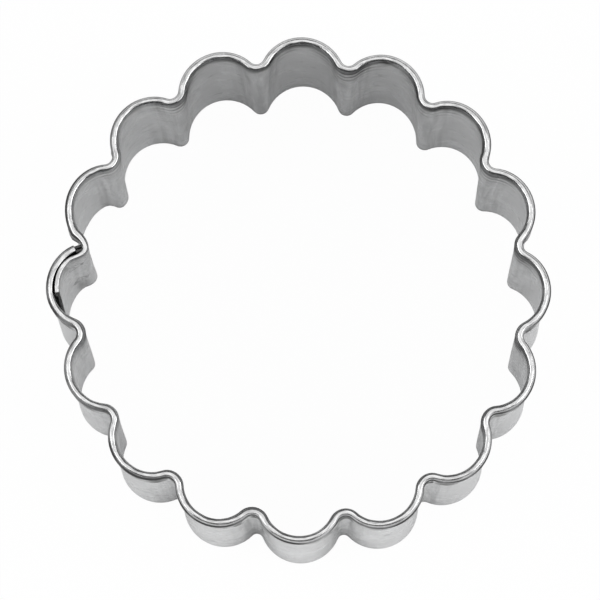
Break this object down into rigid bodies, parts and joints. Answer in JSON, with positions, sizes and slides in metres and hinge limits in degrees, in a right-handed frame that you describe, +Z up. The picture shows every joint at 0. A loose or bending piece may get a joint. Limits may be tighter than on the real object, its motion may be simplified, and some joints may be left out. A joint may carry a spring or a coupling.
{
  "type": "fluted cookie cutter",
  "caption": "Fluted round cookie cutter bent from a strip of bright steel, with a folded rim on top, a plain cutting edge below and a spot-welded lap.",
  "frame": {"origin": "on the table under the middle of the ring, level with the cutting edge", "axes": "+Z up from the cutting edge to the folded rim, -X out through the lapped flute, +Y the far side in the picture"},
  "size_m": [0.0573, 0.0582, 0.0254],
  "materials": {
    "strip_steel": "bright rolled sheet, satin",
    "weld_steel": "fused and pressed, slightly dull"
  },
  "bodies": {
    "root": {"cutter_strip": "strip_steel", "upper_spot_weld": "weld_steel", "lower_spot_weld": "weld_steel"}
  },
  "joints": []
}
